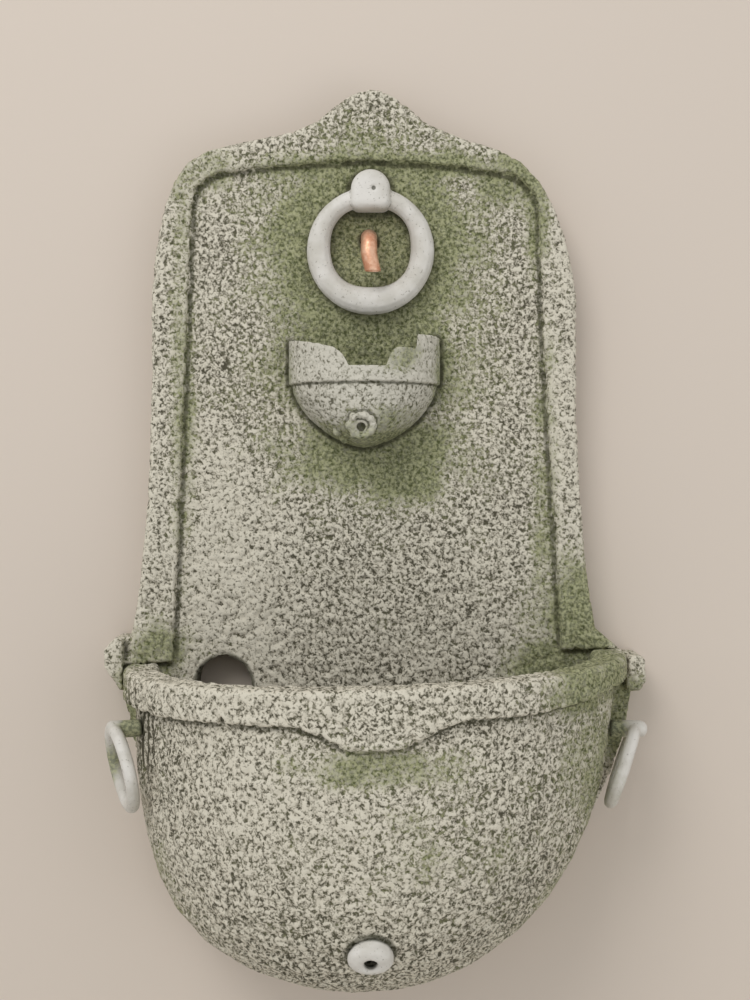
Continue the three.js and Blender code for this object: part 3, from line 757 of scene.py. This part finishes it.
def make_slab():
    slab = own_copy("back_slab", "slab")
    regrid(slab, SLAB_GRID)
    thin_hidden(slab, against_wall, SLAB_HIDDEN_SHARE)
    weather(slab, calm=close_to_wall)
    places = vertex_places(slab)
    # Painted shade and soil where the slab meets the basin, cup, spout and ring
    near = closeness(slab, ("basin", "cup", "spout"), SLAB_NEAR)
    near = np.maximum(near, closeness(slab, ("spout_ring",), RING_NEAR))
    near[(places[:, 2] < RIM_REACH) & (np.abs(places[:, 0]) > RIM_END)] *= RIM_END_SHARE
    # Painted shade round the overflow hole's edge
    near = np.maximum(near, overflow_edge(places))
    near = np.maximum(near, crack_line(places))
    moss = patchiness(places, SLAB_MOSS)
    washed = patchiness(places, SLAB_WASH)
    store(slab, near=near, moss=moss, washed=washed, streaked=np.zeros(len(places)))
    finish_piece(slab, "back_slab", stone)


def make_basin():
    basin = own_copy("basin", "basin_bowl")
    regrid(basin, BASIN_GRID)
    thin_hidden(basin, inside_basin, BASIN_HIDDEN_SHARE)
    weather(basin)
    places = vertex_places(basin)
    # Painted shade and soil where the basin meets the rings, the drain boss and the slab
    near = closeness(basin, ("left_ring", "right_ring", "drain_boss"), BASIN_NEAR)
    near = np.maximum(near, RIM_END_SHARE * closeness(basin, ("back_slab",), BASIN_NEAR))
    moss = patchiness(places, BASIN_MOSS)
    # Painted light at the basin's left, painted shade at its lower right and its bottom
    washed = patchiness(places, BASIN_PAINTED_LIGHT_AND_SHADE)
    store(basin, near=near, moss=moss, washed=washed, streaked=patchiness(places, BASIN_STREAKS))
    finish_piece(basin, "basin", stone)


def add_petals(cup):
    """Worn petals joined to the rosette: a thick curl round its hole, and small ones at its left."""
    tree = search_tree(cup.data)
    petals = []
    deselect_all()
    for turn, reach, length, width in PETALS:
        across = ROSETTE_X + reach * math.cos(math.radians(turn))
        height = ROSETTE_Z + reach * math.sin(math.radians(turn))
        touch = tree.ray_cast(Vector((across, -EYE_DISTANCE, height)), Vector((0, 1, 0)))[0]
        bpy.ops.mesh.primitive_uv_sphere_add(
            segments=PETAL_SEGMENTS, ring_count=PETAL_RINGS, radius=width,
            location=(across, touch.y, height), rotation=(0, -math.radians(turn), 0),
        )
        petal = bpy.context.object
        petal.scale = (1, PETAL_RISE / width, length / width)
        bpy.ops.object.transform_apply(location=True, rotation=True, scale=True)
        petal.select_set(False)
        petals.append(petal)
    for piece in (*petals, cup):
        piece.select_set(True)
    bpy.context.view_layer.objects.active = cup
    bpy.ops.object.join()


def make_cup():
    cup = own_copy("cup", "cup_bowl")
    add_petals(cup)
    regrid(cup, CUP_GRID, CUP_HOLLOW_PASSES)
    weather(cup, CUP_SHALLOWER)
    places = vertex_places(cup)
    # Painted shade and soil where the cup meets the slab
    near = closeness(cup, ("back_slab",), CUP_NEAR)
    moss = patchiness(places, CUP_MOSS)
    washed = patchiness(places, CUP_WASH)
    store(cup, near=near, moss=moss, washed=washed, streaked=np.zeros(len(places)))
    finish_piece(cup, "cup", worn_stone)


def make_casting(node, name, neighbour):
    """A smooth pale casting, such as a ring with its knob."""
    casting = own_copy(node, name)
    regrid(casting, CAST_GRID)
    apply_modifier(casting, "SMOOTH", iterations=CAST_SMOOTHING, factor=CAST_SMOOTHING_SHARE)
    press(casting, wear_texture, CAST_WEAR_DEPTH, BOTH_WAYS)
    # Painted shade and soil where the casting meets its neighbour
    near = closeness(casting, (neighbour,), CAST_NEAR)
    store(casting, near=near, moss=patchiness(vertex_places(casting), CAST_MOSS))
    finish_piece(casting, node, cast)


def make_spout():
    """A pipe drawn as a circle, run out from the wall, bent down and let fall to its mouth."""
    low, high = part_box("spout")
    back = high.y - SPOUT_INSET
    axis_height = high.z - SPOUT_RADIUS
    bend_start = low.y + SPOUT_RADIUS + SPOUT_BEND
    lean = high.x - SPOUT_RADIUS
    fall = low.z - (axis_height - SPOUT_BEND)
    deselect_all()
    bpy.ops.mesh.primitive_circle_add(
        vertices=SPOUT_SIDES, radius=SPOUT_RADIUS, location=(0, back, axis_height),
        rotation=(math.pi / 2, 0, 0),
    )
    pipe = bpy.context.object
    pipe.name = "pipe"
    bpy.ops.object.transform_apply(location=True, rotation=True, scale=True)
    bpy.ops.object.mode_set(mode="EDIT")
    bpy.ops.mesh.select_all(action="SELECT")
    bpy.ops.mesh.extrude_region_move(TRANSFORM_OT_translate={"value": (0, bend_start - back, 0)})
    bpy.ops.mesh.spin(
        steps=SPOUT_BEND_STEPS, angle=-math.pi / 2, center=(0, bend_start, axis_height - SPOUT_BEND),
        axis=(1, 0, 0),
    )
    for share in SPOUT_FALLS:
        bpy.ops.mesh.extrude_region_move(TRANSFORM_OT_translate={"value": (lean * share, 0, fall * share)})
    bpy.ops.mesh.select_all(action="SELECT")
    bpy.ops.mesh.remove_doubles(threshold=MERGE)
    bpy.ops.mesh.normals_make_consistent(inside=False)
    bpy.ops.object.mode_set(mode="OBJECT")
    apply_modifier(pipe, "SOLIDIFY", thickness=SPOUT_WALL, offset=-1)
    apply_modifier(
        pipe, "BEVEL", width=SPOUT_EDGE, segments=2, limit_method="ANGLE", angle_limit=EDGE_ANGLE,
    )
    take_up(pipe)
    bpy.ops.object.shade_smooth_by_angle(angle=SMOOTH_ANGLE)
    # Painted shade: the pipe darkens towards the wall
    in_front = bend_start - vertex_places(pipe)[:, 1]
    store(pipe, near=np.clip((SPOUT_SHADE_START - in_front) / SPOUT_SHADE_REACH, 0, 1))
    finish_piece(pipe, "spout", copper)


def add_plane(name, color, one_sided, **placing):
    deselect_all()
    bpy.ops.mesh.primitive_plane_add(size=WALL_SIZE, **placing)
    plane = bpy.context.object
    plane.name = name
    plane.data.materials.append(plain_stage("plain " + name, color, one_sided))


def make_camera():
    data = bpy.data.cameras.new("camera")
    data.sensor_fit = "HORIZONTAL"
    data.sensor_width = SENSOR_WIDTH
    data.lens = LENS
    camera = link("camera", data)
    camera.location = (0, -EYE_DISTANCE, EYE_HEIGHT)
    camera.rotation_euler = (math.pi / 2 - LOOK_DOWN, 0, -LOOK_RIGHT)
    bpy.context.scene.camera = camera


def make_lights():
    for name, width, power, place, aim in LAMPS:
        data = bpy.data.lights.new(name, "AREA")
        data.size = width
        data.energy = power
        lamp = link(name, data)
        lamp.location = place
        lamp.rotation_euler = (Vector(aim) - lamp.location).to_track_quat("-Z", "Y").to_euler()
    world = bpy.data.worlds.new("studio")
    world.use_nodes = True
    set_inputs(world.node_tree.nodes["Background"], Color=STUDIO_COLOR, Strength=STUDIO_STRENGTH)
    bpy.context.scene.world = world
    bpy.context.scene.view_settings.view_transform = "Standard"


wear_texture = clouds_texture("slow wear", size=0.045, detail=2)
pit_texture = clouds_texture("pits", size=0.0062, detail=0, cut=(0.30, 0.48))
grain_texture = clouds_texture("grains", size=0.0045, detail=1)

grain_group = make_grain_group()
moss_group = make_moss_group()
shade_and_grime_group = make_shade_and_grime_group()

stone = pitted_stone("pitted stone", STONE_PALE, STONE_MIDDLE, STONE_DARK, STONE_BUMP)
worn_stone = pitted_stone("worn stone", WORN_PALE, WORN_MIDDLE, WORN_DARK, WORN_BUMP)
cast = smooth_cast("smooth cast stone")
copper = worn_copper("worn copper")

make_slab()
make_basin()
make_cup()
make_casting("spout_ring", "spout_ring_casting", "back_slab")
make_casting("left_ring", "left_ring_casting", "basin")
make_casting("right_ring", "right_ring_casting", "basin")
make_casting("drain_boss", "drain_boss_casting", "basin")
make_spout()
add_plane(
    "wall", WALL_COLOR, True, location=(0, WALL_GAP, FLOOR_HEIGHT + WALL_SIZE / 2),
    rotation=(math.pi / 2, 0, 0),
)
add_plane("floor", FLOOR_COLOR, False, location=(0, 0, FLOOR_HEIGHT))
make_camera()
make_lights()
